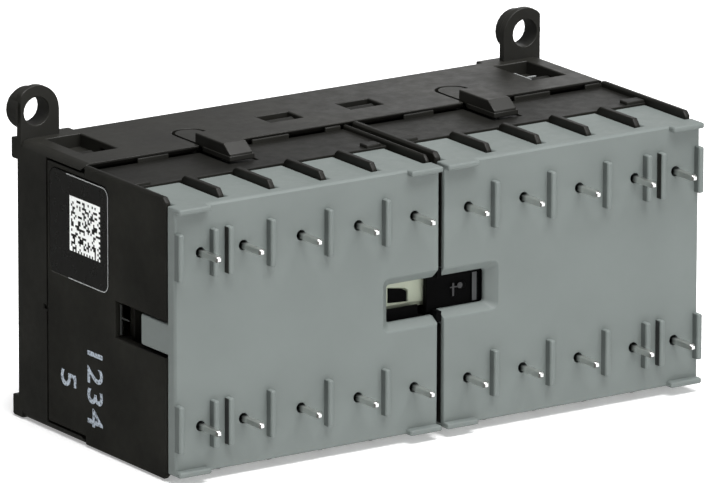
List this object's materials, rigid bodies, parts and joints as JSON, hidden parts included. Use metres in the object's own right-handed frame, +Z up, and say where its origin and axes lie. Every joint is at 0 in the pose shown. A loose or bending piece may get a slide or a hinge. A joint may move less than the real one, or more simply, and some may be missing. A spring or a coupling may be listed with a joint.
{
  "type": "din rail contactor",
  "caption": "Mirrored pair of small contactors on one rail base, with solder pins on the front, sprung contact carriers and a mechanical interlock in a shared window.",
  "frame": {"origin": "centre of the base's back plane, where the rail seats", "axes": "+X to the right seen from the front, along the rail; +Y to the back, out of the rail seat; +Z up"},
  "size_m": [0.0924, 0.0496, 0.0498],
  "materials": {
    "black_plastic": "moulded, fine satin texture",
    "grey_plastic": "moulded, satin",
    "ivory_plastic": "moulded, satin",
    "tinned_metal": "bright tinned",
    "silver_copper": "bright",
    "core_steel": "ground",
    "spring_steel": "bright",
    "winding_copper": "enamelled",
    "label_film": "gloss"
  },
  "bodies": {
    "unit": {"base": "black_plastic", "rail_clip_spring": "spring_steel", "interlock_housing": "black_plastic", "interlock_pin": "spring_steel", "side_label": "label_film", "left_housing": "black_plastic", "left_front_cover": "grey_plastic", "left_fixed_core": "core_steel", "left_coil_bobbin": "ivory_plastic", "left_coil_winding": "winding_copper", "left_return_spring": "spring_steel", "left_coil_terminal_top": "tinned_metal", "left_coil_terminal_bottom": "tinned_metal", "left_terminal_1_top": "tinned_metal", "left_terminal_2_top": "tinned_metal", "left_terminal_3_top": "tinned_metal", "left_terminal_4_top": "tinned_metal", "left_terminal_1_bottom": "tinned_metal", "left_terminal_2_bottom": "tinned_metal", "left_terminal_3_bottom": "tinned_metal", "left_terminal_4_bottom": "tinned_metal", "right_housing": "black_plastic", "right_front_cover": "grey_plastic", "right_fixed_core": "core_steel", "right_coil_bobbin": "ivory_plastic", "right_coil_winding": "winding_copper", "right_return_spring": "spring_steel", "right_coil_terminal_top": "tinned_metal", "right_coil_terminal_bottom": "tinned_metal", "right_terminal_1_top": "tinned_metal", "right_terminal_2_top": "tinned_metal", "right_terminal_3_top": "tinned_metal", "right_terminal_4_top": "tinned_metal", "right_terminal_1_bottom": "tinned_metal", "right_terminal_2_bottom": "tinned_metal", "right_terminal_3_bottom": "tinned_metal", "right_terminal_4_bottom": "tinned_metal"},
    "rail_clip": {"rail_clip": "black_plastic"},
    "left_carrier": {"left_contact_carrier": "ivory_plastic", "left_armature": "core_steel", "left_contact_spring_1": "spring_steel", "left_contact_spring_2": "spring_steel", "left_contact_spring_3": "spring_steel", "left_contact_spring_4": "spring_steel"},
    "left_bridges": {"left_contact_bridge_1": "silver_copper", "left_contact_bridge_2": "silver_copper", "left_contact_bridge_3": "silver_copper", "left_contact_bridge_4": "silver_copper"},
    "right_carrier": {"right_contact_carrier": "ivory_plastic", "right_armature": "core_steel", "right_contact_spring_1": "spring_steel", "right_contact_spring_2": "spring_steel", "right_contact_spring_3": "spring_steel", "right_contact_spring_4": "spring_steel"},
    "right_bridges": {"right_contact_bridge_1": "silver_copper", "right_contact_bridge_2": "silver_copper", "right_contact_bridge_3": "silver_copper", "right_contact_bridge_4": "silver_copper"},
    "interlock_rocker": {"interlock_rocker": "ivory_plastic"}
  },
  "joints": [
    {"name": "left_carrier_travel", "type": "slide", "parent": "unit", "child": "left_carrier", "axis": [0, 1, 0], "range_m": [0, 0.003], "stiffness_N_per_m": 300, "springref_m": -0.004, "deforming": ["left_return_spring"]},
    {"name": "left_bridge_travel", "type": "slide", "parent": "left_carrier", "child": "left_bridges", "axis": [0, 1, 0], "range_m": [-0.0009, 0], "stiffness_N_per_m": 800, "springref_m": 0.0005, "deforming": ["left_contact_spring_1", "left_contact_spring_2", "left_contact_spring_3", "left_contact_spring_4"]},
    {"name": "right_carrier_travel", "type": "slide", "parent": "unit", "child": "right_carrier", "axis": [0, 1, 0], "range_m": [0, 0.003], "stiffness_N_per_m": 300, "springref_m": -0.004, "deforming": ["right_return_spring"]},
    {"name": "right_bridge_travel", "type": "slide", "parent": "right_carrier", "child": "right_bridges", "axis": [0, 1, 0], "range_m": [-0.0009, 0], "stiffness_N_per_m": 800, "springref_m": 0.0005, "deforming": ["right_contact_spring_1", "right_contact_spring_2", "right_contact_spring_3", "right_contact_spring_4"]},
    {"name": "rail_clip_travel", "type": "slide", "parent": "unit", "child": "rail_clip", "axis": [0, 0, -1], "range_m": [0, 0.0025], "stiffness_N_per_m": 1500, "springref_m": -0.002, "deforming": ["rail_clip_spring"]},
    {"name": "interlock_rock", "type": "hinge", "parent": "unit", "child": "interlock_rocker", "pos_m": [0, -0.0334, 0], "axis": [0, 0, 1], "range_deg": [-8, 8]}
  ],
  "couplings": [
    {"joint": "left_bridge_travel", "follows": "left_carrier_travel", "ratio": -0.3},
    {"joint": "right_bridge_travel", "follows": "right_carrier_travel", "ratio": -0.3}
  ]
}
